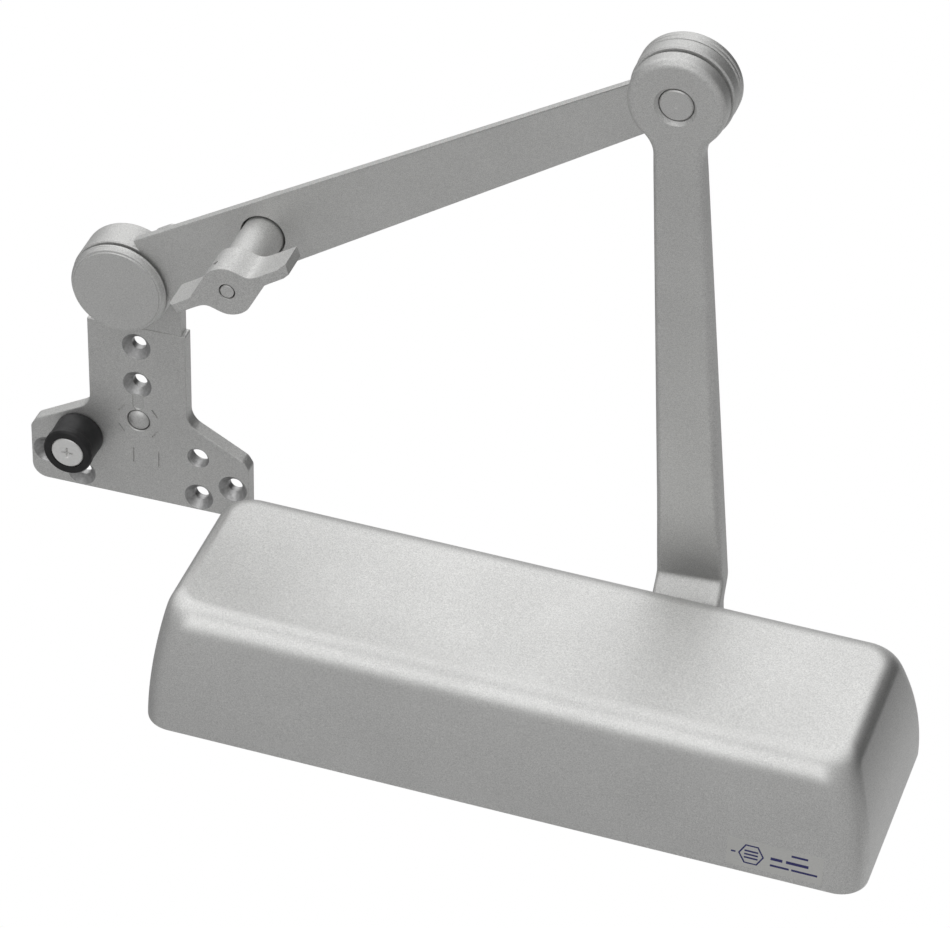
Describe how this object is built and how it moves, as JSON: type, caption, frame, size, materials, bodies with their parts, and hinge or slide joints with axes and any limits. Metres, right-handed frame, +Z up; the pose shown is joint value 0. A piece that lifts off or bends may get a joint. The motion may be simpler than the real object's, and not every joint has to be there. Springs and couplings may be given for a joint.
{
  "type": "door closer",
  "caption": "Surface-mounted hydraulic door closer with a full cover, a rigid parallel arm, a thumb-turn hold-open and a soffit shoe with a rubber stop.",
  "frame": {"origin": "middle of the body's mounting face, on the door's face", "axes": "+Z up along the pinion, +Y into the door, +X along the cover"},
  "size_m": [0.4227, 0.3041, 0.154],
  "materials": {
    "paint": "satin aluminium-silver paint",
    "steel": "bright zinc",
    "dark_steel": "oiled dark",
    "casting": "as cast, machined faces",
    "bronze": "machined",
    "rubber": "matt black"
  },
  "bodies": {
    "closer_body": {"cover": "paint", "cover_screw_left": "steel", "cover_screw_right": "steel", "body_casting": "casting", "end_plug_left": "dark_steel", "end_plug_right": "dark_steel", "spring_seat": "steel", "closing_spring": "dark_steel", "bearing_upper": "bronze", "bearing_lower": "bronze", "pinion_seal": "rubber", "gland_nut": "steel", "pinion_cap": "dark_steel"},
    "spring_adjuster": {"spring_adjusting_screw": "steel"},
    "sweep_valve": {"valve_sweep": "bronze"},
    "latch_valve": {"valve_latch": "bronze"},
    "backcheck_valve": {"valve_backcheck": "bronze"},
    "piston_rack": {"piston": "steel"},
    "arm": {"pinion_shaft": "steel", "main_arm": "paint", "arm_washer": "steel", "arm_screw": "dark_steel", "elbow_pin": "paint", "elbow_washer": "dark_steel", "elbow_spacer": "paint", "elbow_cap": "paint"},
    "fore": {"forearm": "paint", "hold_open_housing": "paint", "housing_rivet_1": "steel", "housing_rivet_2": "steel", "housing_rivet_3": "steel"},
    "latch_slide": {"hold_open_latch": "steel"},
    "thumb_turn": {"thumb_spindle": "steel", "thumb_lever": "paint", "lever_pin": "paint", "lever_set_screw": "dark_steel"},
    "shoe": {"shoe_plate": "paint", "pivot_cap": "paint", "shoe_pivot_pin": "steel", "pivot_washer": "dark_steel", "hold_open_drum": "steel", "dome_pin": "steel", "bumper": "rubber", "bumper_screw": "steel"}
  },
  "joints": [
    {"name": "pinion_turn", "type": "hinge", "parent": "closer_body", "child": "arm", "pos_m": [0.0484, -0.0285, 0.06], "axis": [0, 0, 1], "range_deg": [0, 90], "stiffness_Nm_per_rad": 9},
    {"name": "piston_stroke", "type": "slide", "parent": "closer_body", "child": "piston_rack", "axis": [1, 0, 0], "range_m": [-0.018, 0.0005], "deforming": ["closing_spring"]},
    {"name": "elbow_fold", "type": "hinge", "parent": "arm", "child": "fore", "pos_m": [0.02487, -0.2798, 0.079], "axis": [0, 0, 1], "range_deg": [-12, 75]},
    {"name": "shoe_swivel", "type": "hinge", "parent": "fore", "child": "shoe", "pos_m": [-0.21618, -0.12439, 0.09], "axis": [0, 0, 1], "range_deg": [-118, 60]},
    {"name": "thumb_turn_hinge", "type": "hinge", "parent": "fore", "child": "thumb_turn", "pos_m": [-0.15189, -0.16584, 0.06], "axis": [0, 0, 1], "range_deg": [0, 90]},
    {"name": "latch_travel", "type": "slide", "parent": "fore", "child": "latch_slide", "axis": [0.8405, -0.5418, 0], "range_m": [-0.00339, 0]},
    {"name": "spring_adjust", "type": "hinge", "parent": "closer_body", "child": "spring_adjuster", "pos_m": [-0.11, -0.0285, 0], "axis": [1, 0, 0], "range_deg": [0, 360]},
    {"name": "sweep_adjust", "type": "hinge", "parent": "closer_body", "child": "sweep_valve", "pos_m": [0.115, -0.0375, 0.012], "axis": [1, 0, 0], "range_deg": [-180, 180]},
    {"name": "latch_adjust", "type": "hinge", "parent": "closer_body", "child": "latch_valve", "pos_m": [0.115, -0.0195, 0.012], "axis": [1, 0, 0], "range_deg": [-180, 180]},
    {"name": "backcheck_adjust", "type": "hinge", "parent": "closer_body", "child": "backcheck_valve", "pos_m": [0.115, -0.0285, -0.013], "axis": [1, 0, 0], "range_deg": [-180, 180]}
  ],
  "couplings": [
    {"joint": "piston_stroke", "follows": "pinion_turn", "m_per_rad": -0.011},
    {"joint": "thumb_turn_hinge", "follows": "latch_travel", "rad_per_m": -462.79}
  ]
}
